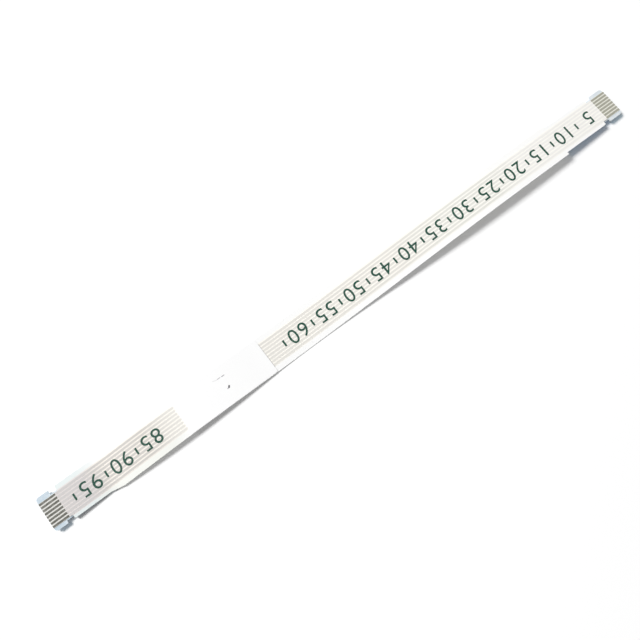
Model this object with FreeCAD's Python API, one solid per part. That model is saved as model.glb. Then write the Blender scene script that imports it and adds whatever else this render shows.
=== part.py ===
import FreeCAD, Part
import math
import os

# A flat flex cable with eight conductors, lying on a surface in gentle waves.
# Millimetres. +X runs along the cable, +Y across it, +Z up, contacts upwards.
# The origin is under the middle of the cable, on the surface it lies on.

# Conductors
conductor_count = 8
conductor_pitch = 0.5
conductor_width = 0.3
conductor_thickness = 0.035

# Films: the bottom one is flat, the top one rises in a ridge over each conductor
film_thickness = 0.06
ridge_side = 0.04

# Lengths along the cable, each from the tip that it belongs to
cable_length = 102.0
left_contact_length = 2.5
right_contact_length = 2.7
left_shoulder_start = 8.6
left_shoulder_length = 2.0
right_step_start = 11.5

# Margins across the cable, from an outer conductor's centre to the die-cut edge
body_margin = 1.125
tab_margin = 0.75
left_far_tab_margin = 1.0
notch_margin = 0.35
tongue_margin = 0.2

# Ears and notches at the tips
left_ear_length = 1.9
right_ear_length = 2.45
notch_length = 1.05
ear_corner_radius = 0.45
notch_corner_radius = 0.12

# Stiffeners under the tabs
stiffener_thickness = 0.205
left_stiffener_length = 9.4
right_stiffener_length = 11.4

# White patch on top
patch_start = 21.8
patch_length = 14.5
patch_thickness = 0.1
patch_edge_inset = 0.03
patch_corner_radius = 0.3

# How the cable lies: the height of the bottom film's underside.
# The waves' places are shares of the free span between the two stiffeners.
left_tip_height = 0.72
right_shoulder_height = 1.3
right_tip_height = 0.7
wave_shares = [0.070, 0.137, 0.242, 0.346, 0.457, 0.562, 0.673, 0.784, 0.895]
wave_heights = [0.62, 0.80, 0.55, 0.0, 0.0, 0.42, 1.12, 1.50, 1.56]
bend_share = 0.45
crease_length = 0.8

# Heights in the laminate, from the bottom film's underside
film_top = film_thickness
conductor_top = film_top + conductor_thickness
valley_top = film_top + film_thickness
ridge_top = conductor_top + film_thickness
patch_top = ridge_top + patch_thickness

# Half widths
outer_conductor = (conductor_count - 1) * conductor_pitch / 2
body_half = outer_conductor + body_margin

# How far the cutting tools stand past the cable
tool_margin = 1.0


def route_points():
    """Corners of the route, x along the cable and z up, from the left tip to the right one."""
    free_start = left_stiffener_length
    free_span = cable_length - left_stiffener_length - right_stiffener_length
    points = [(0.0, left_tip_height), (free_start, stiffener_thickness)]
    for share, height in zip(wave_shares, wave_heights):
        points.append((free_start + share * free_span, height))
    points.append((free_start + free_span, right_shoulder_height))
    points.append((cable_length, right_tip_height))
    return points


def route_pieces(points):
    """Straight runs joined by tangent arcs: (start, heading, curvature, length) for each."""
    runs = []
    headings = []
    for (xa, za), (xb, zb) in zip(points, points[1:]):
        runs.append(math.hypot(xb - xa, zb - za))
        headings.append(math.atan2(zb - za, xb - xa))
    reaches = [0.0]
    for i in range(1, len(points) - 1):
        reach = bend_share * min(runs[i - 1], runs[i])
        if i in (1, len(points) - 2):
            reach = min(reach, crease_length)
        reaches.append(reach)
    reaches.append(0.0)
    pieces = []
    for i, run in enumerate(runs):
        x, z = points[i]
        start = (x + reaches[i] * math.cos(headings[i]), z + reaches[i] * math.sin(headings[i]))
        pieces.append((start, headings[i], 0.0, run - reaches[i] - reaches[i + 1]))
        if i + 1 == len(runs):
            break
        x, z = points[i + 1]
        back = reaches[i + 1]
        start = (x - back * math.cos(headings[i]), z - back * math.sin(headings[i]))
        turn = headings[i + 1] - headings[i]
        radius = back / math.tan(abs(turn) / 2)
        print("bend", i + 1, "radius", round(radius, 1), "turn", round(math.degrees(turn), 2))
        pieces.append((start, headings[i], math.copysign(1 / radius, turn), radius * abs(turn)))
    return pieces


points = route_points()
pieces = route_pieces(points)
route_length = sum(piece[3] for piece in pieces)
print("route length", round(route_length, 3))


def on_piece(piece, along, height):
    """The (x, z) on one piece of the route, that far along it and that high above it."""
    (x, z), heading, curvature, _ = piece
    if curvature == 0.0:
        x += along * math.cos(heading)
        z += along * math.sin(heading)
        end_heading = heading
    else:
        end_heading = heading + curvature * along
        x += (math.sin(end_heading) - math.sin(heading)) / curvature
        z -= (math.cos(end_heading) - math.cos(heading)) / curvature
    return x - height * math.sin(end_heading), z + height * math.cos(end_heading)


def on_route(along, height):
    """The (x, z) at a distance along the whole route and a height above it."""
    for piece in pieces[:-1]:
        if along <= piece[3]:
            return on_piece(piece, along, height)
        along -= piece[3]
    return on_piece(pieces[-1], along, height)


# The origin lies half way between the tips
middle_x = (on_route(0.0, 0.0)[0] + on_route(cable_length, 0.0)[0]) / 2


def plan_x(along):
    """Where a distance along the cable lies in plan, from the origin."""
    return on_route(along, 0.0)[0] - middle_x


def section_point(piece, along, height):
    """The same point as on_piece, as a vector from the origin."""
    x, z = on_piece(piece, along, height)
    return FreeCAD.Vector(x - middle_x, 0, z)


def line_edges(start, end, height):
    """The edges of the route from one distance to another, offset by a height."""
    edges = []
    done = 0.0
    for piece in pieces:
        length = piece[3]
        a = max(start - done, 0.0)
        b = min(end - done, length)
        if b - a > 1e-6:
            first = section_point(piece, a, height)
            last = section_point(piece, b, height)
            if piece[2] == 0.0:
                edges.append(Part.LineSegment(first, last).toShape())
            else:
                middle = section_point(piece, (a + b) / 2, height)
                edges.append(Part.Arc(first, middle, last).toShape())
        done += length
    return edges


def strip(start, end, low, high, near, far):
    """One layer: from start to end along the cable, low to high in it, near to far across it."""
    lower = line_edges(start, end, low)
    upper = line_edges(start, end, high)
    close_start = Part.LineSegment(lower[0].Vertexes[0].Point, upper[0].Vertexes[0].Point)
    close_end = Part.LineSegment(lower[-1].Vertexes[-1].Point, upper[-1].Vertexes[-1].Point)
    edges = lower + upper + [close_start.toShape(), close_end.toShape()]
    face = Part.Face(Part.Wire(Part.__sortEdges__(edges)))
    face.translate(FreeCAD.Vector(0, near, 0))
    return face.extrude(FreeCAD.Vector(0, far - near, 0))


def rounded_face(corners):
    """A flat face in plan from corners (x, y, radius), where a radius of 0 leaves it sharp."""
    edges = []
    ends = []
    for i, (x, y, radius) in enumerate(corners):
        corner = FreeCAD.Vector(x, y, 0)
        before = FreeCAD.Vector(*corners[i - 1][:2], 0)
        after = FreeCAD.Vector(*corners[(i + 1) % len(corners)][:2], 0)
        to_before = (before - corner).normalize()
        to_after = (after - corner).normalize()
        half = to_before.getAngle(to_after) / 2
        if radius == 0 or abs(half - math.pi / 2) < 1e-6:
            ends.append((corner, corner))
            continue
        reach = radius / math.tan(half)
        first = corner + to_before * reach
        last = corner + to_after * reach
        inwards = (to_before + to_after).normalize()
        middle = corner + inwards * (radius / math.sin(half) - radius)
        edges.append(Part.Arc(first, middle, last).toShape())
        ends.append((first, last))
    for i, (_, last) in enumerate(ends):
        first = ends[(i + 1) % len(ends)][0]
        if last.distanceToPoint(first) > 1e-6:
            edges.append(Part.LineSegment(last, first).toShape())
    return Part.Face(Part.Wire(Part.__sortEdges__(edges)))


def tab_side(tip, inwards, side, tab, ear_length, ears):
    """Corners of one side of a tab, from its tip inwards. side is 1 or -1 across the cable."""
    mouth = tip + inwards * ear_length
    notch_end = mouth + inwards * notch_length
    tab_edge = side * (outer_conductor + tab)
    notch = side * (outer_conductor + notch_margin)
    tongue = side * (outer_conductor + tongue_margin)
    if not ears:
        return [
            (tip, tongue, 0),
            (notch_end, tongue, notch_corner_radius),
            (notch_end, tab_edge, notch_corner_radius),
        ]
    return [
        (tip, tab_edge, ear_corner_radius),
        (mouth, tab_edge, notch_corner_radius),
        (mouth, notch, notch_corner_radius),
        (notch_end, notch, notch_corner_radius),
        (notch_end, tab_edge, notch_corner_radius),
    ]


def shoulder(side, tab):
    """Corners where a side of the left tab widens into the body in a slope."""
    start = plan_x(left_shoulder_start)
    return [
        (start, side * (outer_conductor + tab), 0),
        (start + left_shoulder_length, side * body_half, 0),
    ]


def step(side):
    """Corners where a side of the body narrows into the right tab in a square step."""
    x = plan_x(cable_length - right_step_start)
    return [(x, side * body_half, 0), (x, side * (outer_conductor + tab_margin), 0)]


def die_cut(ears):
    """The cable's outline in plan, as a tall tool: with the ears, or with the films' tongues."""
    left = plan_x(0.0)
    right = plan_x(cable_length)
    left_margins = {-1: tab_margin, 1: left_far_tab_margin}
    sides = {}
    for side in (-1, 1):
        corners = tab_side(left, 1, side, left_margins[side], left_ear_length, ears)
        corners += shoulder(side, left_margins[side])
        corners += step(side)
        corners += tab_side(right, -1, side, tab_margin, right_ear_length, ears)[::-1]
        sides[side] = corners
    face = rounded_face(sides[-1] + sides[1][::-1])
    face.translate(FreeCAD.Vector(0, 0, -tool_margin))
    highest = max(point[1] for point in points) + patch_top
    return face.extrude(FreeCAD.Vector(0, 0, highest + 2 * tool_margin))


def conductor_centres():
    """Where the conductors' centres lie across the cable, from the far side to the near one."""
    return [outer_conductor - i * conductor_pitch for i in range(conductor_count)]


def conductor(centre):
    """One flat conductor, bare on top at both ends."""
    half = conductor_width / 2
    return strip(0, cable_length, film_top, conductor_top, centre - half, centre + half)


def bottom_film():
    """The film under the conductors, over the whole length."""
    sheet = strip(0, cable_length, 0, film_top, -body_half, body_half)
    return sheet.common(die_cut(ears=False))


def top_film(conductors):
    """The film over the conductors, with a ridge and a channel for each."""
    start = left_contact_length
    end = cable_length - right_contact_length
    sheet = strip(start, end, film_top, valley_top, -body_half, body_half)
    ridges = []
    for centre in conductor_centres():
        half = conductor_width / 2 + ridge_side
        ridges.append(strip(start, end, film_top, ridge_top, centre - half, centre + half))
    film = sheet.multiFuse(ridges).common(die_cut(ears=False))
    return film.cut(conductors)


def stiffener(start, end):
    """The plastic strip under one tab, die-cut with the ears and notches."""
    sheet = strip(start, end, -stiffener_thickness, 0, -body_half, body_half)
    return sheet.common(die_cut(ears=True))


def adhesive_patch(film):
    """The opaque patch on the top film, bedded down between its ridges."""
    end = patch_start + patch_length
    half = body_half - patch_edge_inset
    patch = strip(patch_start, end, valley_top, patch_top, -half, half)
    near_x = plan_x(patch_start)
    far_x = plan_x(end)
    corners = []
    for x, y in ((near_x, -half), (far_x, -half), (far_x, half), (near_x, half)):
        corners.append((x, y, patch_corner_radius))
    trim = rounded_face(corners)
    highest = max(point[1] for point in points) + patch_top
    trim = trim.extrude(FreeCAD.Vector(0, 0, highest + tool_margin))
    return patch.common(trim).cut(film)


def single_solid(shape, name):
    """The one solid of a shape, or a stop if it fell apart."""
    shape = shape.removeSplitter()
    if len(shape.Solids) != 1 or not shape.isValid():
        raise ValueError(name + " isn't one sound solid")
    return shape.Solids[0]


def build():
    """Every piece of the cable, by name."""
    parts = {}
    for number, centre in enumerate(conductor_centres(), 1):
        parts["conductor_%d" % number] = conductor(centre)
    conductors = list(parts.values())
    film = single_solid(top_film(conductors), "top_film")
    parts["top_film"] = film
    parts["bottom_film"] = bottom_film()
    parts["stiffener_left"] = stiffener(0, left_stiffener_length)
    parts["stiffener_right"] = stiffener(cable_length - right_stiffener_length, cable_length)
    parts["adhesive_patch"] = adhesive_patch(film)
    return parts


os.makedirs("parts", exist_ok=True)
for name, shape in build().items():
    solid = single_solid(shape, name)
    solid.exportStep("parts/" + name + ".step")
    print(name, "volume", round(solid.Volume, 4), "faces", len(solid.Faces))
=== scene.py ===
"""A flat flex cable with eight conductors: the finish of its pieces, the printed scale and the stage."""

import math
from functools import partial

import bmesh
import bpy
from bpy.props import FloatProperty, FloatVectorProperty, IntProperty, PointerProperty
from mathutils import Matrix, Vector
from mathutils.bvhtree import BVHTree


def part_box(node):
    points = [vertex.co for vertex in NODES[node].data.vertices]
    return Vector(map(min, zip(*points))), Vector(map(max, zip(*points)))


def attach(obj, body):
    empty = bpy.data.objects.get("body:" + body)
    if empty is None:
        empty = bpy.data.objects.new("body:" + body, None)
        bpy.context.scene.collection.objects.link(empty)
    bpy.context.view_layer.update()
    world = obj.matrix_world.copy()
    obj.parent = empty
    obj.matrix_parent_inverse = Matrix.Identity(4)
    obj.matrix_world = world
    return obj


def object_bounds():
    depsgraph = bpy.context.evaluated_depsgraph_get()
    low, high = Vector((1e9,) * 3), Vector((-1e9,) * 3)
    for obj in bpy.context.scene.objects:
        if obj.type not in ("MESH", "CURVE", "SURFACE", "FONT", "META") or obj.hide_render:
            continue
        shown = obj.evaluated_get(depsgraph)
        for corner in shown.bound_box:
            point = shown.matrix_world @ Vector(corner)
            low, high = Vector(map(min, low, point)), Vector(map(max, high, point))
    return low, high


bl_info = {
    "name": "Flat Flex Cable",
    "version": (1, 0, 0),
    "blender": (4, 5, 0),
    "location": "View3D > Sidebar > Flat Cable",
    "description": "Finishes, printed scale and stage of a flat flex cable",
    "category": "Object",
}

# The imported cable, and what is read from it. Metres, as everywhere in this file.
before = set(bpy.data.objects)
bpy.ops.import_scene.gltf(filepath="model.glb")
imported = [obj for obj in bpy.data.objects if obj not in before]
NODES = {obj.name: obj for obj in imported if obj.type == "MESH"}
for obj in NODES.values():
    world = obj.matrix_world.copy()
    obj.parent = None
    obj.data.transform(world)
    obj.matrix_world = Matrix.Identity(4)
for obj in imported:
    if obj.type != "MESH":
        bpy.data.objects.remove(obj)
CABLE_LOW, CABLE_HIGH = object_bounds()
CONDUCTORS = sorted(name for name in NODES if name.startswith("conductor_"))
FIRST_LOW, FIRST_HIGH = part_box(CONDUCTORS[0])
NEXT_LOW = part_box(CONDUCTORS[1])[0]
FILM_LOW, FILM_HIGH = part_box("top_film")
PATCH_LOW, PATCH_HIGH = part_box("adhesive_patch")
CONDUCTOR_WIDTH = FIRST_HIGH.y - FIRST_LOW.y
CONDUCTOR_PITCH = FIRST_LOW.y - NEXT_LOW.y
OUTER_CONDUCTOR = (FIRST_HIGH.y + FIRST_LOW.y) / 2

MM = 0.001

# The cable's route. WAVES are shares of the free span between the stiffeners, and millimetres of height.
CABLE_LENGTH = 102.0 * MM
LEFT_STIFFENER = 9.4 * MM
RIGHT_STIFFENER = 11.4 * MM
LEFT_TIP_HEIGHT = 0.72 * MM
LEFT_STIFFENER_HEIGHT = 0.205 * MM
RIGHT_STIFFENER_HEIGHT = 1.3 * MM
RIGHT_TIP_HEIGHT = 0.7 * MM
WAVES = (
    (0.070, 0.62),
    (0.137, 0.80),
    (0.242, 0.55),
    (0.346, 0.0),
    (0.457, 0.0),
    (0.562, 0.42),
    (0.673, 1.12),
    (0.784, 1.50),
    (0.895, 1.56),
)

# The kinds of settings
ColourProperty = partial(FloatVectorProperty, subtype="COLOR", size=3, min=0, max=1)
ShareProperty = partial(FloatProperty, subtype="FACTOR", min=0, max=1)
LengthProperty = partial(FloatProperty, subtype="DISTANCE", precision=6)
AngleProperty = partial(FloatProperty, subtype="ANGLE")


class FilmLook(bpy.types.PropertyGroup):
    """The two white films and how the conductors show through them."""

    colour: ColourProperty(
        name="Margins",
        description="White of the margins, where no conductor lies in the film",
        default=(0.95, 0.95, 0.945),
    )
    field_colour: ColourProperty(
        name="Field",
        description="Warmer white of the film between the conductors",
        default=(0.95, 0.925, 0.87),
    )
    stripe_colour: ColourProperty(
        name="Stripes",
        description="What the film shows over a conductor, in the cable's middle",
        default=(0.745, 0.725, 0.68),
    )
    right_margin_colour: ColourProperty(
        name="Right margins",
        description="White of the margins towards the right tab",
        default=(0.998, 0.998, 0.985),
    )
    right_field_colour: ColourProperty(
        name="Right field",
        description="Film between the conductors towards the right tab",
        default=(0.98, 0.965, 0.915),
    )
    lower_margin_colour: ColourProperty(
        name="Lower margin",
        description="Duller white of the lower margin between the left tab and the patch",
        default=(0.845, 0.855, 0.81),
    )
    tab_lower_margin_colour: ColourProperty(
        name="Left tab lower margin",
        description="Lower margin on the left tab",
        default=(0.7505, 0.8075, 0.80275),
    )
    # Painted shadow: grey of the fine line painted on the film along the patch's right end, where the
    # raised patch shades the film
    patch_shadow_colour: ColourProperty(
        name="Patch line",
        description="Fine line of dust that the glue holds along the patch's right end",
        default=(0.45, 0.45, 0.45),
    )
    left_stripe_colour: ColourProperty(
        name="Left stripes",
        description="The deeper stripes between the left tab and the patch",
        default=(0.55, 0.525, 0.495),
    )
    far_stripe_colour: ColourProperty(
        name="Stripes right of the middle",
        description="The stripes before the right tab",
        default=(0.772, 0.766, 0.715),
    )
    right_stripe_colour: ColourProperty(
        name="Right stripes",
        description="The fainter stripes towards the right tab",
        default=(0.88, 0.865, 0.835),
    )
    left_field_colour: ColourProperty(
        name="Left field",
        description="Film between the conductors, between the left tab and the patch",
        default=(0.865, 0.825, 0.765),
    )
    tab_margin_colour: ColourProperty(
        name="Left tab upper margin",
        description="Upper margin on the left tab, where the blue stiffener shows through",
        default=(0.79, 0.85, 0.845),
    )
    tab_field_colour: ColourProperty(
        name="Left tab field",
        description="Film between the conductors on the left tab",
        default=(0.727, 0.686, 0.671),
    )
    tab_stripe_colour: ColourProperty(
        name="Left tab stripes",
        description="Stripes on the left tab",
        default=(0.579, 0.556, 0.549),
    )
    left_glue_colour: ColourProperty(
        name="Left glue",
        description="The dried glue on the bottom film between the left contacts",
        default=(0.72, 0.715, 0.68),
    )
    right_glue_colour: ColourProperty(
        name="Right glue",
        description="The dried glue on the bottom film between the right contacts",
        default=(0.765, 0.755, 0.685),
    )
    stripe_softness: LengthProperty(
        name="Stripe softness",
        description="Width of the blurred side of each stripe",
        default=0.05 * MM,
        min=0.001 * MM,
    )
    light_through: ShareProperty(
        name="Light through",
        description="Share of the lamp's light that one face of a film lets through",
        default=0.605,
    )


class ContactLook(bpy.types.PropertyGroup):
    """The tinned conductors, bare on top at both ends, where they are the contacts."""

    left_colour: ColourProperty(
        name="Left contacts",
        description="The duller tin of the left contacts",
        default=(0.066, 0.065, 0.057),
    )
    right_colour: ColourProperty(
        name="Right contacts",
        description="The brighter tin of the right contacts",
        default=(0.357, 0.352, 0.29),
    )
    worn_colour: ColourProperty(
        name="Worn tin",
        description="Bright tin of the streaks that plugging in leaves along a contact",
        default=(0.75, 0.74, 0.70),
    )
    worn_share: ShareProperty(
        name="Worn streaks",
        description="How far the worn streaks turn to the worn tin's colour",
        default=0.2,
    )
    light_past: ShareProperty(
        name="Light past",
        description="Share of the lamp's light that the films spread past one face of a conductor",
        default=0.85,
    )


class StiffenerLook(bpy.types.PropertyGroup):
    """The two pale blue plastic strips under the tabs."""

    left_colour: ColourProperty(
        name="Left stiffener",
        description="Pale blue of the left strip",
        default=(0.516, 0.62, 0.70),
    )
    left_under_colour: ColourProperty(
        name="Left stiffener's back",
        description="Blue of the left strip's back",
        default=(0.516, 0.62, 0.70),
    )
    right_colour: ColourProperty(
        name="Right stiffener",
        description="Paler blue of the right strip",
        default=(0.69, 0.75, 0.79),
    )
    right_under_colour: ColourProperty(
        name="Right stiffener's back",
        description="Deeper blue of the right strip's back",
        default=(0.36, 0.53, 0.72),
    )
    left_light_through: ColourProperty(
        name="Left light through",
        description="The blue light that one face of the bare left strip lets through",
        default=(0.18, 0.28, 0.34),
    )
    right_light_through: ColourProperty(
        name="Right light through",
        description="The blue light that one face of the bare right strip lets through",
        default=(0.28, 0.38, 0.43),
    )
    left_light_under_film: ColourProperty(
        name="Left light under film",
        description="The same where the films cover the left strip",
        default=(0.05, 0.08, 0.1),
    )
    right_light_under_film: ColourProperty(
        name="Right light under film",
        description="The same where the films cover the right strip",
        default=(0.45, 0.63, 0.8),
    )


class PatchLook(bpy.types.PropertyGroup):
    """The white patch on top, which hides the stripes, with the marks of handling on it."""

    colour: ColourProperty(
        name="Patch", description="White of the patch", default=(0.972, 0.972, 0.972)
    )
    shade_colour: ColourProperty(
        name="Patch shade",
        description="White between the patch's fibres",
        default=(0.9526, 0.9526, 0.9526),
    )
    mark_colour: ColourProperty(
        name="Marks",
        description="Grey of the scuffs and the speck on the patch",
        default=(0.07, 0.07, 0.08),
    )
    light_through: ShareProperty(
        name="Light through",
        description="Share of the lamp's light that one face of the patch lets through",
        default=0.78,
    )


class ScaleLook(bpy.types.PropertyGroup):
    """The plain length scale printed along the top film, in millimetres from the right tip."""

    step: IntProperty(
        name="Step", description="Millimetres from one number to the next", default=5, min=1
    )
    right_first: IntProperty(
        name="First number", description="Number nearest to the right tip", default=5, min=0
    )
    right_count: IntProperty(
        name="Right of the patch", description="How many numbers are printed there", default=12, min=1
    )
    left_first: IntProperty(
        name="First past the patch",
        description="Number nearest to the patch on its left",
        default=85,
        min=0,
    )
    left_count: IntProperty(
        name="Left of the patch", description="How many numbers are printed there", default=3, min=1
    )
    digit_height: LengthProperty(
        name="Digit height", description="Height of the printed digits", default=2.16 * MM
    )
    digit_spacing: FloatProperty(
        name="Digit spacing",
        description="Distance between digits, as a share of the font's own",
        default=1.15,
    )
    tick_length: LengthProperty(
        name="Tick length",
        description="Length of the tick between two numbers, across the cable",
        default=1.0 * MM,
    )
    tick_width: LengthProperty(
        name="Tick width", description="Width of the tick between two numbers", default=0.28 * MM
    )
    off_centre: LengthProperty(
        name="Off centre",
        description="How far the print runs beside the cable's middle, across it",
        default=-0.15 * MM,
    )
    ink_height: LengthProperty(
        name="Ink height", description="Thickness of the ink on the film", default=0.008 * MM
    )
    ink_colour: ColourProperty(
        name="Ink", description="Green of the print", default=(0.018, 0.073, 0.050)
    )
    thin_ink_colour: ColourProperty(
        name="Thin ink", description="Green where the ink is thinner", default=(0.0424, 0.1414, 0.1)
    )


class StageLook(bpy.types.PropertyGroup):
    """The white surface, the lamp, the soft light from all round and the camera."""

    lamp_bearing: AngleProperty(
        name="Lamp bearing",
        description="Where the lamp stands, turned from +X towards +Y",
        default=math.radians(127.8),
    )
    lamp_elevation: AngleProperty(
        name="Lamp elevation",
        description="How high the lamp stands above the surface",
        default=math.radians(48.0),
    )
    lamp_distance: LengthProperty(
        name="Lamp distance", description="From the cable's middle to the lamp", default=1.6
    )
    lamp_width: LengthProperty(
        name="Lamp width", description="Diameter of the round lamp", default=0.62
    )
    lamp_share: ShareProperty(
        name="Lamp share",
        description="Share of the light on the surface that comes from the lamp",
        default=0.83,
    )
    light_level: FloatProperty(
        name="Light level",
        description="Light on the surface from the lamp and from all round, where 1 is plain white",
        default=1.04,
        min=0,
    )
    picture_tilt: AngleProperty(
        name="Camera tilt",
        description="How far the camera looks from straight down",
        default=math.radians(14.213),
    )
    picture_bearing: AngleProperty(
        name="Camera bearing",
        description="Which way is up in the picture, turned from +X towards +Y",
        default=math.radians(52.078),
    )
    picture_roll: AngleProperty(
        name="Camera roll",
        description="Turn of the camera about its own line of sight",
        default=math.radians(-0.668),
    )
    camera_distance: LengthProperty(
        name="Camera distance",
        description="From the point looked at to the camera",
        default=0.108686,
    )
    camera_target: FloatVectorProperty(
        name="Camera target",
        description="Point on the surface in the middle of the picture",
        subtype="XYZ",
        size=3,
        default=(-0.005468, -0.000439, 0.0),
    )
    camera_lens: FloatProperty(
        name="Camera lens",
        description="Focal length in millimetres, for a sensor 36 mm wide",
        default=42.77,
        min=1,
    )


# Building shader and geometry trees


def node(tree, kind, inputs=None, **settings):
    """A new node: settings are its properties, and inputs its sockets by name or number."""
    made = tree.nodes.new(kind)
    for name, value in settings.items():
        setattr(made, name, value)
    for key, value in (inputs or {}).items():
        if isinstance(value, bpy.types.NodeSocket):
            tree.links.new(value, made.inputs[key])
        else:
            made.inputs[key].default_value = value
    return made


def calculate(tree, operation, *values):
    """The result of one Math node."""
    made = node(tree, "ShaderNodeMath", dict(enumerate(values)), operation=operation)
    return made.outputs[0]


def vectors(tree, operation, *values):
    """The result of one Vector Math node."""
    made = node(tree, "ShaderNodeVectorMath", dict(enumerate(values)), operation=operation)
    return made.outputs["Value" if operation in ("DOT_PRODUCT", "LENGTH") else "Vector"]


def fade(tree, value, at_zero, at_one):
    """0 where value is at_zero, 1 where it is at_one, and smooth between them."""
    inputs = {"Value": value, "From Min": at_zero, "From Max": at_one}
    made = node(tree, "ShaderNodeMapRange", inputs, interpolation_type="SMOOTHSTEP")
    return made.outputs["Result"]


def blend(tree, share, first, second):
    """A colour from first, where share is 0, to second, where it is 1."""
    made = node(tree, "ShaderNodeMix", {0: share, 6: first, 7: second}, data_type="RGBA")
    return made.outputs[2]


def mixed(tree, share, first, second):
    """A shader from first, where share is 0, to second, where it is 1."""
    return node(tree, "ShaderNodeMixShader", {0: share, 1: first, 2: second}).outputs[0]


def axes(tree, vector):
    """The X, Y and Z of a vector."""
    return node(tree, "ShaderNodeSeparateXYZ", {0: vector}).outputs


def opaque(colour):
    """A colour property as the four numbers that a socket takes."""
    return (*colour, 1.0)


def grey(level):
    """A grey as the four numbers that a socket takes."""
    return (level, level, level, 1.0)


def new_group(name, kind, sockets_in, sockets_out):
    """A group, what it is given and what it gives. Sockets are (name, type, default) or (name, type)."""
    tree = bpy.data.node_groups.new(name, kind)
    for socket_name, socket_type, default in sockets_in:
        socket = tree.interface.new_socket(socket_name, in_out="INPUT", socket_type=socket_type)
        if default is not None:
            socket.default_value = default
    for socket_name, socket_type in sockets_out:
        tree.interface.new_socket(socket_name, in_out="OUTPUT", socket_type=socket_type)
    return tree, tree.nodes.new("NodeGroupInput").outputs, tree.nodes.new("NodeGroupOutput").inputs


def object_position(tree):
    """The place on the piece, in metres."""
    return node(tree, "ShaderNodeTexCoord").outputs["Object"]


# Effects: shader groups, each made once and placed in a material with its own values

STRIPES = "Stripes over conductors"
ZONE = "Stretch of the cable"
GRAIN = "Drawn grain"
MARK = "Short mark"
NUMBER = "NodeSocketFloat"
VECTOR = "NodeSocketVector"
POSITION = ("Position", VECTOR, None)


def stripes_group():
    """Mask of the stripes that lie over the conductors."""
    tree, given, result = new_group(
        STRIPES,
        "ShaderNodeTree",
        [
            POSITION,
            ("Pitch", NUMBER, CONDUCTOR_PITCH),
            ("Width", NUMBER, CONDUCTOR_WIDTH),
            ("Softness", NUMBER, 0.05 * MM),
            ("Outermost", NUMBER, OUTER_CONDUCTOR),
        ],
        [("Mask", NUMBER)],
    )
    across = axes(tree, given["Position"])["Y"]
    place = calculate(tree, "FRACT", calculate(tree, "DIVIDE", across, given["Pitch"]))
    from_centre = calculate(tree, "ABSOLUTE", calculate(tree, "SUBTRACT", place, 0.5))
    distance = calculate(tree, "MULTIPLY", from_centre, given["Pitch"])
    half = calculate(tree, "MULTIPLY", given["Width"], 0.5)
    inner = calculate(tree, "SUBTRACT", half, given["Softness"])
    outer = calculate(tree, "ADD", half, given["Softness"])
    stripe = fade(tree, distance, outer, inner)
    limit = calculate(tree, "ADD", given["Outermost"], given["Width"])
    inside = calculate(tree, "LESS_THAN", calculate(tree, "ABSOLUTE", across), limit)
    tree.links.new(calculate(tree, "MULTIPLY", stripe, inside), result["Mask"])
    return tree


def zone_group():
    """Mask of a stretch of the cable, from one distance along it to another."""
    tree, given, result = new_group(
        ZONE,
        "ShaderNodeTree",
        [POSITION, ("Start", NUMBER, 0.0), ("End", NUMBER, 1.0), ("Softness", NUMBER, 0.1 * MM)],
        [("Mask", NUMBER)],
    )
    along = axes(tree, given["Position"])["X"]
    before = calculate(tree, "SUBTRACT", given["Start"], given["Softness"])
    after = calculate(tree, "ADD", given["End"], given["Softness"])
    rising = fade(tree, along, before, given["Start"])
    falling = fade(tree, along, after, given["End"])
    tree.links.new(calculate(tree, "MULTIPLY", rising, falling), result["Mask"])
    return tree


def grain_group():
    """Fine grain, drawn out along the cable as rolled metal and film are."""
    tree, given, result = new_group(
        GRAIN,
        "ShaderNodeTree",
        [
            POSITION,
            ("Size", NUMBER, 0.2 * MM),
            ("Stretch", NUMBER, 4.0),
            ("Detail", NUMBER, 3.0),
        ],
        [("Grain", NUMBER)],
    )
    shrink = calculate(tree, "DIVIDE", 1.0, given["Stretch"])
    factors = node(tree, "ShaderNodeCombineXYZ", {"X": shrink, "Y": 1.0, "Z": 1.0})
    drawn = vectors(tree, "MULTIPLY", given["Position"], factors.outputs[0])
    scale = calculate(tree, "DIVIDE", 1.0, given["Size"])
    inputs = {"Vector": drawn, "Scale": scale, "Detail": given["Detail"], "Roughness": 0.6}
    noise = node(tree, "ShaderNodeTexNoise", inputs)
    tree.links.new(noise.outputs[0], result["Grain"])
    return tree


def mark_group():
    """Mask of a short mark between two points, with soft sides."""
    tree, given, result = new_group(
        MARK,
        "ShaderNodeTree",
        [
            POSITION,
            ("From", VECTOR, None),
            ("To", VECTOR, None),
            ("Half Width", NUMBER, 0.1 * MM),
            ("Softness", NUMBER, 0.05 * MM),
        ],
        [("Mask", NUMBER)],
    )
    flat = vectors(tree, "MULTIPLY", given["Position"], (1.0, 1.0, 0.0))
    reach = vectors(tree, "SUBTRACT", given["To"], given["From"])
    away = vectors(tree, "SUBTRACT", flat, given["From"])
    squared = vectors(tree, "DOT_PRODUCT", reach, reach)
    share = calculate(tree, "DIVIDE", vectors(tree, "DOT_PRODUCT", away, reach), squared)
    share = calculate(tree, "MINIMUM", calculate(tree, "MAXIMUM", share, 0.0), 1.0)
    scaled = node(tree, "ShaderNodeVectorMath", {0: reach}, operation="SCALE")
    tree.links.new(share, scaled.inputs["Scale"])
    distance = vectors(tree, "LENGTH", vectors(tree, "SUBTRACT", away, scaled.outputs[0]))
    outer = calculate(tree, "ADD", given["Half Width"], given["Softness"])
    tree.links.new(fade(tree, distance, outer, given["Half Width"]), result["Mask"])
    return tree


EFFECTS = {STRIPES: stripes_group, ZONE: zone_group, GRAIN: grain_group, MARK: mark_group}


def effect(tree, name, inputs):
    """The outputs of an effect placed in a tree."""
    group = bpy.data.node_groups.get(name)
    if group is None:
        group = EFFECTS[name]()
    return node(tree, "ShaderNodeGroup", inputs, node_tree=group).outputs


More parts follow.
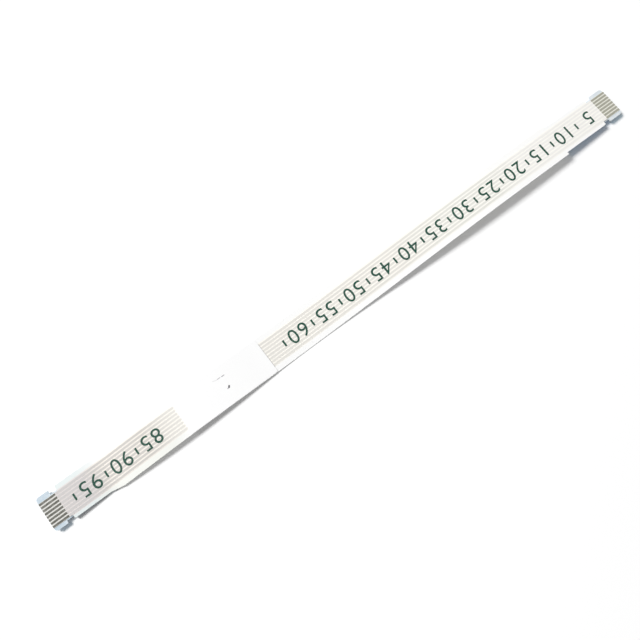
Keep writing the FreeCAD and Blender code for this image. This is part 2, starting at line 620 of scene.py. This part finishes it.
def zone(tree, position, start, end, softness):
    """Mask of the cable from start to end."""
    ends = {"Start": start, "End": end, "Softness": softness}
    return effect(tree, ZONE, {"Position": position, **ends})["Mask"]


def grain(tree, position, size, stretch):
    """Grain of one size, drawn out along the cable by stretch."""
    return effect(tree, GRAIN, {"Position": position, "Size": size, "Stretch": stretch})["Grain"]


# Values of the materials

# Grains: size, and how far they are drawn out along the cable
FILM_CLOUDS = (0.9 * MM, 6.0)
FILM_GRAIN = (0.08 * MM, 2.0)
TIN_STREAKS = (0.05 * MM, 14.0)
STIFFENER_CLOUDS = (0.6 * MM, 1.5)
STIFFENER_GRAIN = (0.06 * MM, 3.0)
PATCH_FIBRES = (0.12 * MM, 1.6)
INK_BLOTCHES = (0.25 * MM, 1.0)

# Finishes: least and greatest roughness, and depth of the relief
FILM_FINISH = (0.38, 0.52, 0.004 * MM)
TIN_FINISH = (0.28, 0.5, 0.003 * MM)
STIFFENER_FINISH = (0.3, 0.42, 0.003 * MM)
PATCH_FINISH = (0.5, 0.65, 0.004 * MM)
INK_FINISH = (0.45, 0.6, 0.001 * MM)

# How strongly the ink mirrors, where 0.5 is usual
INK_SPECULAR = 0.2
# The left end's tin turns to the right end's over this length, at the cable's middle
TIN_TURN = 1.0 * MM

# Grain at which a second tone starts, and at which it is full
WORN_TIN = (0.45, 0.75)
PALE_CLOUDS = (0.4, 0.8)
THIN_INK = (0.5, 0.85)

# Colours along the films: millimetres from the left tip, and the setting in FilmLook
UPPER_MARGIN_STOPS = (
    (6.0, "tab_margin_colour"),
    (9.6, "colour"),
    (60.0, "colour"),
    (70.0, "right_margin_colour"),
)
LOWER_MARGIN_STOPS = (
    (6.0, "tab_lower_margin_colour"),
    (9.6, "lower_margin_colour"),
    (19.0, "lower_margin_colour"),
    (22.0, "colour"),
    (60.0, "colour"),
    (70.0, "right_margin_colour"),
)
FIELD_STOPS = (
    (6.5, "tab_field_colour"),
    (9.5, "left_field_colour"),
    (16.2, "left_field_colour"),
    (20.8, "field_colour"),
    (60.0, "field_colour"),
    (72.0, "right_field_colour"),
)
STRIPE_STOPS = (
    (6.5, "tab_stripe_colour"),
    (9.5, "left_stripe_colour"),
    (16.2, "left_stripe_colour"),
    (20.8, "stripe_colour"),
    (60.0, "stripe_colour"),
    (70.0, "far_stripe_colour"),
    (78.0, "far_stripe_colour"),
    (84.0, "right_stripe_colour"),
)
GLUE_STOPS = (
    (0.0, "left_glue_colour"),
    (50.0, "right_glue_colour"),
)

# The field of conductors lies between the margins, and ends softly
FIELD_EDGE = OUTER_CONDUCTOR + CONDUCTOR_PITCH / 2
FIELD_SOFTNESS = 0.15 * MM
# The upper margin's colour turns to the lower one's between this far above and below the middle
MARGIN_TURN = 1.0 * MM
FILM_END_SOFTNESS = 0.05 * MM
# Least and greatest depth of the stripes, from cloud to cloud
STRIPE_DEPTHS = (0.8, 1.1)

# The painted shadow line along the patch's right end: its width, soft ends, and depth on the field and on
# the lower margin
LINE_WIDTH = 0.1 * MM
LINE_SOFTNESS = 0.04 * MM
LINE_DEPTH = 0.5
LINE_DEPTH_BELOW = 0.2

# Cut edges and clouds of the stiffeners keep this share of the colour's depth
PALE_SHARE = 0.6
# Z of the normal where a cut edge, and the back, start and where they are full
CUT_EDGE = (0.6, 0.2)
BACK = (-0.6, -0.9)

# Marks on the patch: (from, to) from its left end and the cable's middle, half width and depth of colour
PATCH_MARKS = (
    ((6.35, 1.4), (6.9, 1.22), 0.03, 0.2),
    ((7.03, 1.27), (7.5, 1.25), 0.035, 0.5),
    ((7.75, 1.23), (8.15, 1.23), 0.04, 0.65),
    ((7.72, -0.61), (7.84, -0.45), 0.095, 1.0),
    ((7.45, -0.66), (7.72, -0.61), 0.04, 0.6),
)
MARK_SOFTNESS = 0.05 * MM


# Materials


def new_material(name):
    """A material with an empty tree, and its Principled shader."""
    material = bpy.data.materials.new(name)
    material.use_nodes = True
    tree = material.node_tree
    tree.nodes.clear()
    return material, tree, tree.nodes.new("ShaderNodeBsdfPrincipled")


def complete(tree, shader, colour, relief, finish, light_through=None):
    """Ties a shader to its colour and to the grain that roughens it, and ends the material in it.

    Where light_through is given, each face lets that much of the lamp's light past.
    """
    smoothest, roughest, depth = finish
    inputs = {"Value": relief, "To Min": smoothest, "To Max": roughest}
    roughness = node(tree, "ShaderNodeMapRange", inputs).outputs["Result"]
    bump = node(tree, "ShaderNodeBump", {"Height": relief, "Distance": depth, "Strength": 1.0})
    tree.links.new(colour, shader.inputs["Base Color"])
    tree.links.new(roughness, shader.inputs["Roughness"])
    tree.links.new(bump.outputs[0], shader.inputs["Normal"])
    surface = shader.outputs[0]
    if light_through is not None:
        shadow_ray = node(tree, "ShaderNodeLightPath").outputs["Is Shadow Ray"]
        clear = node(tree, "ShaderNodeBsdfTransparent", {"Color": light_through})
        surface = mixed(tree, shadow_ray, surface, clear.outputs[0])
    node(tree, "ShaderNodeOutputMaterial", {"Surface": surface})


def share_along(tree, position):
    """How far along the cable a place is, from 0 at the left tip to 1 at the right one."""
    from_tip = calculate(tree, "SUBTRACT", axes(tree, position)["X"], CABLE_LOW.x)
    return calculate(tree, "DIVIDE", from_tip, CABLE_LENGTH)


def ramp(tree, along, look, stops):
    """A colour that changes along the cable, from stop to stop."""
    made = node(tree, "ShaderNodeValToRGB", {"Fac": along})
    elements = made.color_ramp.elements
    while len(elements) < len(stops):
        elements.new(1.0)
    for element, (distance, setting) in zip(elements, stops):
        element.position = distance * MM / CABLE_LENGTH
        element.color = opaque(getattr(look, setting))
    return made.outputs["Color"]


def film_colour(tree, look, position, along):
    """White of the film, with the conductors showing through it as stripes."""
    across = axes(tree, position)["Y"]
    upper = ramp(tree, along, look, UPPER_MARGIN_STOPS)
    lower = ramp(tree, along, look, LOWER_MARGIN_STOPS)
    margin = blend(tree, fade(tree, across, MARGIN_TURN, -MARGIN_TURN), upper, lower)
    from_middle = calculate(tree, "ABSOLUTE", across)
    inside = fade(tree, from_middle, FIELD_EDGE + FIELD_SOFTNESS, FIELD_EDGE)
    colour = blend(tree, inside, margin, ramp(tree, along, look, FIELD_STOPS))
    stripes = effect(tree, STRIPES, {"Position": position, "Softness": look.stripe_softness})["Mask"]
    shallow, deep = STRIPE_DEPTHS
    clouds = {"Value": grain(tree, position, *FILM_CLOUDS), "To Min": shallow, "To Max": deep}
    depth = node(tree, "ShaderNodeMapRange", clouds).outputs["Result"]
    share = calculate(tree, "MULTIPLY", stripes, depth)
    return blend(tree, share, colour, ramp(tree, along, look, STRIPE_STOPS))


def painted_patch_shadow(tree, position):
    """Mask of the painted shadow: a fine line along the patch's right end, where the patch shades the
    film.
    """
    line = zone(tree, position, PATCH_HIGH.x, PATCH_HIGH.x + LINE_WIDTH, LINE_SOFTNESS)
    across = axes(tree, position)["Y"]
    not_above = fade(tree, across, FIELD_EDGE + FIELD_SOFTNESS, FIELD_EDGE)
    below = fade(tree, across, -FIELD_EDGE, -FIELD_EDGE - FIELD_SOFTNESS)
    depth = calculate(tree, "MULTIPLY_ADD", below, LINE_DEPTH_BELOW - LINE_DEPTH, LINE_DEPTH)
    return calculate(tree, "MULTIPLY", line, calculate(tree, "MULTIPLY", not_above, depth))


def film_material(name, look, contacts_bare):
    """White polyester film, with glue between bare contacts or the painted shadow line at the patch's
    right end.
    """
    material, tree, shader = new_material(name)
    position = object_position(tree)
    along = share_along(tree, position)
    colour = film_colour(tree, look, position, along)
    if contacts_bare:
        covered = zone(tree, position, FILM_LOW.x, FILM_HIGH.x, FILM_END_SOFTNESS)
        colour = blend(tree, covered, ramp(tree, along, look, GLUE_STOPS), colour)
    else:
        # Painted shadow: a fine grey line along the patch's right end, fainter on the lower margin and
        # left off the upper one
        colour = blend(tree, painted_patch_shadow(tree, position), colour, opaque(look.patch_shadow_colour))
    fine = grain(tree, position, *FILM_GRAIN)
    complete(tree, shader, colour, fine, FILM_FINISH, grey(look.light_through))
    return material


def metal_material(look):
    """Tinned copper, duller at the left end, with streaks worn along it."""
    material, tree, shader = new_material("Tinned copper")
    position = object_position(tree)
    streaks = grain(tree, position, *TIN_STREAKS)
    right_half = zone(tree, position, 0.0, CABLE_HIGH.x, TIN_TURN)
    colour = blend(tree, right_half, opaque(look.left_colour), opaque(look.right_colour))
    worn = calculate(tree, "MULTIPLY", fade(tree, streaks, *WORN_TIN), look.worn_share)
    colour = blend(tree, worn, colour, opaque(look.worn_colour))
    shader.inputs["Metallic"].default_value = 1.0
    complete(tree, shader, colour, streaks, TIN_FINISH, grey(look.light_past))
    return material


def stiffener_material(side, look):
    """Pale blue plastic strip with a satin face, paler along its cut edges, and its back."""
    colour = getattr(look, side + "_colour")
    under_colour = getattr(look, side + "_under_colour")
    bare_light = getattr(look, side + "_light_through")
    film_light = getattr(look, side + "_light_under_film")
    paler = [1 - PALE_SHARE * (1 - channel) for channel in colour]
    material, tree, shader = new_material(side.capitalize() + " stiffener")
    position = object_position(tree)
    clouds = fade(tree, grain(tree, position, *STIFFENER_CLOUDS), *PALE_CLOUDS)
    tone = blend(tree, clouds, opaque(colour), opaque(paler))
    facing = node(tree, "ShaderNodeNewGeometry").outputs["Normal"]
    upright = axes(tree, facing)["Z"]
    cut_edge = fade(tree, calculate(tree, "ABSOLUTE", upright), *CUT_EDGE)
    tone = blend(tree, cut_edge, tone, opaque(paler))
    tone = blend(tree, fade(tree, upright, *BACK), tone, opaque(under_colour))
    covered = zone(tree, position, FILM_LOW.x, FILM_HIGH.x, FILM_END_SOFTNESS)
    light = blend(tree, covered, opaque(bare_light), opaque(film_light))
    fine = grain(tree, position, *STIFFENER_GRAIN)
    complete(tree, shader, tone, fine, STIFFENER_FINISH, light)
    return material


def patch_material(look):
    """White film with a faint fibre relief and a few marks of handling."""
    material, tree, shader = new_material("White patch")
    position = object_position(tree)
    fibres = grain(tree, position, *PATCH_FIBRES)
    colour = blend(tree, fibres, opaque(look.colour), opaque(look.shade_colour))
    for start, end, half_width, depth in PATCH_MARKS:
        inputs = {"Position": position, "Half Width": half_width * MM, "Softness": MARK_SOFTNESS}
        for name, (along, across) in (("From", start), ("To", end)):
            inputs[name] = (PATCH_LOW.x + along * MM, across * MM, 0.0)
        mark = calculate(tree, "MULTIPLY", effect(tree, MARK, inputs)["Mask"], depth)
        colour = blend(tree, mark, colour, opaque(look.mark_colour))
    complete(tree, shader, colour, fibres, PATCH_FINISH, grey(look.light_through))
    return material


def ink_material(look):
    """Green ink, a little thinner in places."""
    material, tree, shader = new_material("Green ink")
    blotches = grain(tree, object_position(tree), *INK_BLOTCHES)
    thin = fade(tree, blotches, *THIN_INK)
    colour = blend(tree, thin, opaque(look.ink_colour), opaque(look.thin_ink_colour))
    shader.inputs["Specular IOR Level"].default_value = INK_SPECULAR
    complete(tree, shader, colour, blotches, INK_FINISH)
    return material


def dress(node_name, material):
    """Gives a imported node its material."""
    mesh = NODES[node_name].data
    mesh.materials.clear()
    mesh.materials.append(material)


# The printed scale

# Height of a digit as a share of the font's size
DIGIT_SHARE = 0.7
# Width of a ridge's sloping side, beside the conductor
RIDGE_SIDE = 0.04 * MM
# Corners this near to each other are one, and this near to a cutting plane they lie on it
SAME_PLACE = 1e-7
ON_PLANE = 1e-9


def moved(tree, geometry, place):
    """A geometry moved to the place that these sockets give."""
    translation = node(tree, "ShaderNodeCombineXYZ", place).outputs[0]
    inputs = {"Geometry": geometry, "Translation": translation}
    return node(tree, "GeometryNodeTransform", inputs).outputs[0]


def scale_tree():
    """Numbers and ticks of a length scale, each number that many millimetres from the origin along +X."""
    tree, given, result = new_group(
        "Length scale",
        "GeometryNodeTree",
        [
            ("Geometry", "NodeSocketGeometry", None),
            ("First Number", "NodeSocketInt", 5),
            ("Step", "NodeSocketInt", 5),
            ("Count", "NodeSocketInt", 12),
            ("Digit Height", NUMBER, 2.16 * MM),
            ("Digit Spacing", NUMBER, 1.15),
            ("Tick Length", NUMBER, 1.0 * MM),
            ("Tick Width", NUMBER, 0.28 * MM),
            ("Ink", "NodeSocketMaterial", None),
        ],
        [("Geometry", "NodeSocketGeometry")],
    )
    start = node(tree, "GeometryNodeRepeatInput")
    end = node(tree, "GeometryNodeRepeatOutput")
    start.pair_with_output(end)
    tree.links.new(given["Count"], start.inputs["Iterations"])
    passed = calculate(tree, "MULTIPLY", start.outputs["Iteration"], given["Step"])
    number = calculate(tree, "ADD", passed, given["First Number"])
    words = node(tree, "FunctionNodeValueToString", {"Value": number, "Decimals": 0})
    size = calculate(tree, "DIVIDE", given["Digit Height"], DIGIT_SHARE)
    inputs = {"String": words.outputs[0], "Size": size, "Character Spacing": given["Digit Spacing"]}
    aligned = {"align_x": "CENTER", "align_y": "TOP_BASELINE"}
    letters = node(tree, "GeometryNodeStringToCurves", inputs, **aligned)
    outlines = node(tree, "GeometryNodeRealizeInstances", {0: letters.outputs[0]})
    digits = node(tree, "GeometryNodeFillCurve", {0: outlines.outputs[0]}, mode="TRIANGLES")
    half_down = calculate(tree, "MULTIPLY", given["Digit Height"], -0.5)
    number_x = calculate(tree, "MULTIPLY", number, MM)
    digits = moved(tree, digits.outputs[0], {"X": number_x, "Y": half_down})
    sizes = {"Size X": given["Tick Width"], "Size Y": given["Tick Length"]}
    tick = node(tree, "GeometryNodeMeshGrid", sizes)
    half_step = calculate(tree, "MULTIPLY", given["Step"], 0.5 * MM)
    tick_x = calculate(tree, "ADD", number_x, half_step)
    tick = moved(tree, tick.outputs[0], {"X": tick_x})
    joined = node(tree, "GeometryNodeJoinGeometry")
    for part in (start.outputs["Geometry"], digits, tick):
        tree.links.new(part, joined.inputs[0])
    tree.links.new(joined.outputs[0], end.inputs["Geometry"])
    whole = node(tree, "GeometryNodeRealizeInstances", {0: end.outputs["Geometry"]})
    inputs = {"Geometry": whole.outputs[0], "Material": given["Ink"]}
    inked = node(tree, "GeometryNodeSetMaterial", inputs)
    tree.links.new(inked.outputs[0], result["Geometry"])
    return tree


def baked(name, tree, values):
    """A plain mesh object made by a geometry tree from these named inputs."""
    carrier = bpy.data.objects.new(name + "_carrier", bpy.data.meshes.new(name))
    bpy.context.scene.collection.objects.link(carrier)
    modifier = carrier.modifiers.new("Build", "NODES")
    modifier.node_group = tree
    for item in tree.interface.items_tree:
        if item.in_out == "INPUT" and item.name in values:
            modifier[item.identifier] = values[item.name]
    depsgraph = bpy.context.evaluated_depsgraph_get()
    mesh = bpy.data.meshes.new_from_object(carrier.evaluated_get(depsgraph))
    bpy.data.objects.remove(carrier)
    mesh.name = name
    made = bpy.data.objects.new(name, mesh)
    bpy.context.scene.collection.objects.link(made)
    return made


def cut_across(shape, place, direction):
    """Splits every face that a plane passes through."""
    everything = shape.verts[:] + shape.edges[:] + shape.faces[:]
    bmesh.ops.bisect_plane(
        shape, geom=everything, dist=ON_PLANE, plane_co=place, plane_no=direction
    )


def lay_on_film(piece, ink_height):
    """Cuts a flat print along the film's ridges, lays it on them and gives it its thickness."""
    beside_edge = 0.002 * MM
    step_along = 0.6 * MM
    half_ridge = CONDUCTOR_WIDTH / 2 + RIDGE_SIDE
    film = NODES["top_film"].data
    surface = BVHTree.FromPolygons(
        [vert.co for vert in film.vertices], [face.vertices for face in film.polygons]
    )
    shape = bmesh.new()
    shape.from_mesh(piece.data)
    bmesh.ops.remove_doubles(shape, verts=shape.verts, dist=SAME_PLACE)
    for number in range(len(CONDUCTORS)):
        centre = OUTER_CONDUCTOR - number * CONDUCTOR_PITCH
        for edge in (centre - half_ridge, centre + half_ridge):
            for side in (-beside_edge, beside_edge):
                cut_across(shape, (0, edge + side, 0), (0, 1, 0))
    lowest = min(vert.co.x for vert in shape.verts)
    highest = max(vert.co.x for vert in shape.verts)
    for number in range(1, int((highest - lowest) / step_along)):
        cut_across(shape, (lowest + number * step_along, 0, 0), (1, 0, 0))
    above = CABLE_HIGH.z + 1 * MM
    for vert in shape.verts:
        hit = surface.ray_cast(Vector((vert.co.x, vert.co.y, above)), Vector((0, 0, -1)))[0]
        if hit is None:
            raise ValueError("the print runs off the film")
        vert.co.z = hit.z
    raised = bmesh.ops.extrude_face_region(shape, geom=shape.faces[:])["geom"]
    for part in raised:
        if isinstance(part, bmesh.types.BMVert):
            part.co.z += ink_height
    bmesh.ops.recalc_face_normals(shape, faces=shape.faces)
    shape.to_mesh(piece.data)
    shape.free()


# The cable's route as a smooth line, which nothing else uses


def route_points():
    """Corners of the cable's route, in the frame, from its left tip to its right one."""
    free_span = CABLE_LENGTH - LEFT_STIFFENER - RIGHT_STIFFENER
    points = [(0.0, LEFT_TIP_HEIGHT), (LEFT_STIFFENER, LEFT_STIFFENER_HEIGHT)]
    for share, height in WAVES:
        points.append((LEFT_STIFFENER + share * free_span, height * MM))
    points.append((LEFT_STIFFENER + free_span, RIGHT_STIFFENER_HEIGHT))
    points.append((CABLE_LENGTH, RIGHT_TIP_HEIGHT))
    return [Vector((CABLE_LOW.x + x, 0, z)) for x, z in points]


def smooth_line(points):
    """Points along the smooth curve whose control points these are."""
    curve = bpy.data.curves.new("route", "CURVE")
    curve.dimensions = "3D"
    spline = curve.splines.new("NURBS")
    spline.points.add(len(points) - 1)
    for control, point in zip(spline.points, points):
        control.co = (*point, 1.0)
    spline.order_u = 3
    spline.use_endpoint_u = True
    carrier = bpy.data.objects.new("route", curve)
    line = bpy.data.meshes.new_from_object(carrier)
    found = [tuple(vertex.co) for vertex in line.vertices]
    bpy.data.objects.remove(carrier)
    bpy.data.curves.remove(curve)
    bpy.data.meshes.remove(line)
    return found


# Operators: one for each piece or group of like pieces, and one for the stage with its helpers


class CABLE_OT_films(bpy.types.Operator):
    """Finish the top and bottom films"""

    bl_idname = "cable.films"
    bl_label = "Films"

    def execute(self, context):
        look = context.scene.cable_film
        dress("top_film", film_material("Top film", look, contacts_bare=False))
        dress("bottom_film", film_material("Bottom film", look, contacts_bare=True))
        return {"FINISHED"}


class CABLE_OT_conductors(bpy.types.Operator):
    """Finish the tinned conductors"""

    bl_idname = "cable.conductors"
    bl_label = "Conductors"

    def execute(self, context):
        material = metal_material(context.scene.cable_contacts)
        for name in CONDUCTORS:
            dress(name, material)
        return {"FINISHED"}


class CABLE_OT_stiffeners(bpy.types.Operator):
    """Finish the two blue stiffeners"""

    bl_idname = "cable.stiffeners"
    bl_label = "Stiffeners"

    def execute(self, context):
        for side in ("left", "right"):
            material = stiffener_material(side, context.scene.cable_stiffeners)
            dress("stiffener_" + side, material)
        return {"FINISHED"}


class CABLE_OT_patch(bpy.types.Operator):
    """Finish the white patch and its marks"""

    bl_idname = "cable.patch"
    bl_label = "Patch"

    def execute(self, context):
        dress("adhesive_patch", patch_material(context.scene.cable_patch))
        return {"FINISHED"}


class CABLE_OT_scale(bpy.types.Operator):
    """Print the length scale on the top film"""

    bl_idname = "cable.scale"
    bl_label = "Printed scale"

    def execute(self, context):
        look = context.scene.cable_scale
        tree = scale_tree()
        ink = ink_material(look)
        stretches = {
            "scale_right": (look.right_first, look.right_count),
            "scale_left": (look.left_first, look.left_count),
        }
        right_tip = Matrix.Translation((CABLE_HIGH.x, look.off_centre, 0))
        turned = right_tip @ Matrix.Rotation(math.pi, 4, "Z")
        for name, (first, count) in stretches.items():
            values = {
                "First Number": first,
                "Step": look.step,
                "Count": count,
                "Digit Height": look.digit_height,
                "Digit Spacing": look.digit_spacing,
                "Tick Length": look.tick_length,
                "Tick Width": look.tick_width,
                "Ink": ink,
            }
            printed = baked(name, tree, values)
            printed.data.transform(turned)
            lay_on_film(printed, look.ink_height)
            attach(printed, "root")
        return {"FINISHED"}


class CABLE_OT_route(bpy.types.Operator):
    bl_idname = "cable.route"
    bl_label = "Cable length"

    def execute(self, context):
        line = smooth_line(route_points())
        return {"FINISHED"}


# The white surface: its size and how far it lies below the cable
FLOOR_WIDTH = 2.0
FLOOR_CLEARANCE = 0.02 * MM
# Its colour as it lights the cable, and its colour and glow to the eye
FLOOR_LIGHT = grey(0.8)
FLOOR_WHITE = grey(1.0)
FLOOR_GLOW = 0.03
# Distances from the cable's middle at which the shadow starts to fade out, and has gone
SHADOW_FADE = (0.08, 0.2)
# Width of the camera's sensor, in millimetres
SENSOR_WIDTH = 36


def white_floor():
    """A white surface that keeps the cable's shadow, and is as white as the room far from it."""
    mesh = bpy.data.meshes.new("floor")
    half = FLOOR_WIDTH / 2
    corners = [(-half, -half), (half, -half), (half, half), (-half, half)]
    mesh.from_pydata([(x, y, -FLOOR_CLEARANCE) for x, y in corners], [], [(0, 1, 2, 3)])
    floor = bpy.data.objects.new("floor", mesh)
    bpy.context.scene.collection.objects.link(floor)
    material, tree, shader = new_material("White surface")
    tree.nodes.remove(shader)
    camera_ray = node(tree, "ShaderNodeLightPath").outputs["Is Camera Ray"]
    plain = node(tree, "ShaderNodeBsdfDiffuse", {"Color": FLOOR_LIGHT})
    seen = node(tree, "ShaderNodeBsdfDiffuse", {"Color": FLOOR_WHITE})
    glow = node(tree, "ShaderNodeEmission", {"Strength": FLOOR_GLOW})
    near = node(tree, "ShaderNodeAddShader", {0: seen.outputs[0], 1: glow.outputs[0]})
    far = node(tree, "ShaderNodeEmission", {"Strength": 1.0})
    distance = vectors(tree, "LENGTH", object_position(tree))
    from_cable = fade(tree, distance, *SHADOW_FADE)
    white = mixed(tree, from_cable, near.outputs[0], far.outputs[0])
    surface = mixed(tree, camera_ray, plain.outputs[0], white)
    node(tree, "ShaderNodeOutputMaterial", {"Surface": surface})
    mesh.materials.append(material)


def white_world(fill):
    """Even light from all round at strength fill, and white to the eye and in reflections."""
    world = bpy.data.worlds.new("White room")
    world.use_nodes = True
    tree = world.node_tree
    tree.nodes.clear()
    path = node(tree, "ShaderNodeLightPath").outputs
    seen = calculate(tree, "MAXIMUM", path["Is Camera Ray"], path["Is Glossy Ray"])
    seen = calculate(tree, "MAXIMUM", seen, path["Is Transmission Ray"])
    light = node(tree, "ShaderNodeBackground", {"Color": grey(1.0), "Strength": fill})
    white = node(tree, "ShaderNodeBackground", {"Color": grey(1.0), "Strength": 1.0})
    surface = mixed(tree, seen, light.outputs[0], white.outputs[0])
    node(tree, "ShaderNodeOutputWorld", {"Surface": surface})
    bpy.context.scene.world = world


def round_lamp(stage):
    """One soft lamp, as bright as its share of the light on the surface asks."""
    level = math.cos(stage.lamp_elevation)
    height = math.sin(stage.lamp_elevation)
    bearing = stage.lamp_bearing
    direction = Vector((level * math.cos(bearing), level * math.sin(bearing), height))
    lamp = bpy.data.lights.new("Soft lamp", "AREA")
    lamp.shape = "DISK"
    lamp.size = stage.lamp_width
    spread_out = (math.pi * stage.lamp_distance) ** 2
    lamp.energy = stage.lamp_share * spread_out / height
    holder = bpy.data.objects.new("Soft lamp", lamp)
    holder.location = direction * stage.lamp_distance
    holder.rotation_euler = direction.to_track_quat("Z", "Y").to_euler()
    bpy.context.scene.collection.objects.link(holder)


def camera(stage):
    """The camera, looking down at the photograph's angle."""
    ahead = Vector((math.cos(stage.picture_bearing), math.sin(stage.picture_bearing), 0))
    down = Vector((0, 0, -1))
    tilt = stage.picture_tilt
    sight = down * math.cos(tilt) + ahead * math.sin(tilt)
    up = ahead * math.cos(tilt) - down * math.sin(tilt)
    up = Matrix.Rotation(stage.picture_roll, 3, sight) @ up
    right = sight.cross(up)
    turned = Matrix((right, up, -sight)).transposed()
    lens = bpy.data.cameras.new("Camera")
    lens.sensor_width = SENSOR_WIDTH
    lens.lens = stage.camera_lens
    lens.clip_start = 1.0 * MM
    holder = bpy.data.objects.new("Camera", lens)
    place = Vector(stage.camera_target) - sight * stage.camera_distance
    holder.matrix_world = Matrix.Translation(place) @ turned.to_4x4()
    bpy.context.scene.collection.objects.link(holder)
    bpy.context.scene.camera = holder


class CABLE_OT_stage(bpy.types.Operator):
    """Set the white surface, the light and the camera"""

    bl_idname = "cable.stage"
    bl_label = "Stage"

    def execute(self, context):
        stage = context.scene.cable_stage
        context.scene.view_settings.view_transform = "Standard"
        white_floor()
        white_world(stage.light_level - stage.lamp_share)
        round_lamp(stage)
        camera(stage)
        return {"FINISHED"}


class CABLE_PT_panel(bpy.types.Panel):
    """The cable's pieces in the sidebar"""

    bl_label = "Flat Flex Cable"
    bl_idname = "CABLE_PT_panel"
    bl_space_type = "VIEW_3D"
    bl_region_type = "UI"
    bl_category = "Flat Cable"

    def draw(self, context):
        for name, look, operators in PIECES:
            box = self.layout.box()
            box.label(text=name)
            if look is not None:
                settings = getattr(context.scene, look)
                for key in settings.__annotations__:
                    box.prop(settings, key)
            for operator in operators:
                box.operator(operator)


# Each part of the panel: its title, its settings on the scene and its operators, in the order they run
PIECES = (
    ("Films", "cable_film", ("cable.films",)),
    ("Conductors", "cable_contacts", ("cable.conductors",)),
    ("Stiffeners", "cable_stiffeners", ("cable.stiffeners",)),
    ("Patch", "cable_patch", ("cable.patch",)),
    ("Printed scale", "cable_scale", ("cable.scale",)),
    ("Cable length", None, ("cable.route",)),
    ("Stage", "cable_stage", ("cable.stage",)),
)

SETTINGS = {
    "cable_film": FilmLook,
    "cable_contacts": ContactLook,
    "cable_stiffeners": StiffenerLook,
    "cable_patch": PatchLook,
    "cable_scale": ScaleLook,
    "cable_stage": StageLook,
}

CLASSES = (
    *SETTINGS.values(),
    CABLE_OT_films,
    CABLE_OT_conductors,
    CABLE_OT_stiffeners,
    CABLE_OT_patch,
    CABLE_OT_scale,
    CABLE_OT_route,
    CABLE_OT_stage,
    CABLE_PT_panel,
)


def register():
    for made in CLASSES:
        bpy.utils.register_class(made)
    for name, group in SETTINGS.items():
        setattr(bpy.types.Scene, name, PointerProperty(type=group))


def unregister():
    for name in SETTINGS:
        delattr(bpy.types.Scene, name)
    for made in reversed(CLASSES):
        bpy.utils.unregister_class(made)


def main():
    """Makes every piece in order."""
    register()
    for _, _, operators in PIECES:
        for operator in operators:
            family, name = operator.split(".")
            getattr(getattr(bpy.ops, family), name)()


if __name__ == "__main__":
    main()
